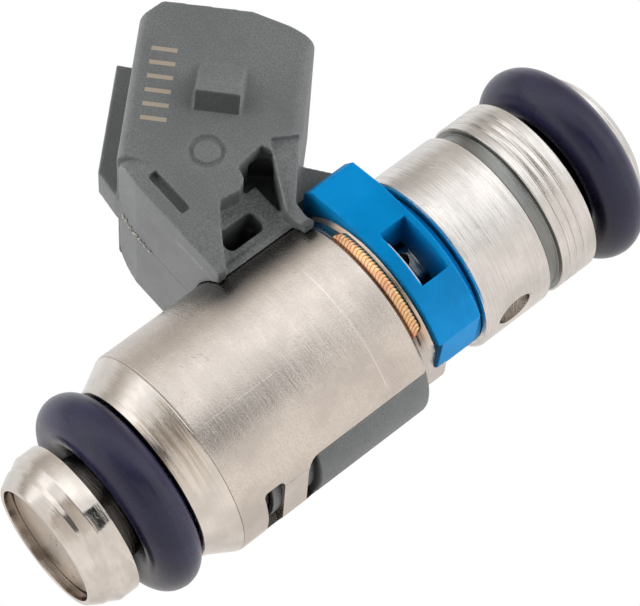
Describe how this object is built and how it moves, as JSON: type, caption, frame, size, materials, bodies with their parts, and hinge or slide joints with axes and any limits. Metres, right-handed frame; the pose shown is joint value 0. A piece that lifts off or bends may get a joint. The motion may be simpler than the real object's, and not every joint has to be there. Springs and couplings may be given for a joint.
{
  "type": "fuel injector",
  "caption": "Port fuel injector with a steel can, angled two-blade plastic connector, colour ring, sealing rings at both ends and the valve, spring and coil inside.",
  "frame": {"origin": "on the valve axis inside the pilot land at the nozzle tip, 3.5 mm below the lower sealing ring's centre", "axes": "+Z along the valve axis from the nozzle to the fuel inlet, +X to the side the connector leaves from, the XZ plane is the plane of symmetry apart from two small details, the colour ring's longer arm and the dimple in the inlet body"},
  "size_m": [0.0313, 0.0162, 0.046],
  "materials": {
    "turned_steel": "turned, fine circular lines",
    "satin_steel": "satin",
    "hard_steel": "ground",
    "magnetic_steel": "turned",
    "spring_steel": "drawn wire",
    "orifice_plate": "matt",
    "spacer_alloy": "turned",
    "weld_tint": "heat tinted weld ripples",
    "copper_wire": "enamelled",
    "brass": "satin",
    "tinned_brass": "tin plated",
    "grey_plastic": "fine moulded grain",
    "blue_plastic": "smooth moulded",
    "bobbin_plastic": "moulded",
    "filter_plastic": "moulded",
    "filter_cloth": "fine woven mesh",
    "ring_rubber": "smooth satin",
    "seal_rubber": "matt"
  },
  "bodies": {
    "injector_body": {"nozzle_body": "turned_steel", "tip_cap": "turned_steel", "orifice_disc": "orifice_plate", "valve_seat": "hard_steel", "guide_disc": "hard_steel", "return_spring": "spring_steel", "spring_sleeve": "hard_steel", "spacer_ring": "spacer_alloy", "coil_bobbin": "bobbin_plastic", "coil_winding": "copper_wire", "bobbin_seal_lower": "seal_rubber", "bobbin_seal_upper": "seal_rubber", "can": "satin_steel", "collar": "turned_steel", "weld_bead_left": "weld_tint", "weld_bead_right": "weld_tint", "connector_housing": "grey_plastic", "terminal_left": "tinned_brass", "terminal_right": "tinned_brass", "colour_ring": "blue_plastic", "inlet_body": "turned_steel", "lower_oring": "ring_rubber", "upper_oring": "ring_rubber", "filter_cap": "brass", "filter_frame": "filter_plastic", "filter_mesh": "filter_cloth"},
    "valve_needle": {"valve_ball": "hard_steel", "needle_tube": "hard_steel", "armature": "magnetic_steel"}
  },
  "joints": [
    {"name": "needle_lift", "type": "slide", "parent": "injector_body", "child": "valve_needle", "axis": [0, 0, 1], "range_m": [0, 0.00008], "stiffness_N_per_m": 2500, "springref_m": -0.0007, "deforming": ["return_spring"]}
  ]
}
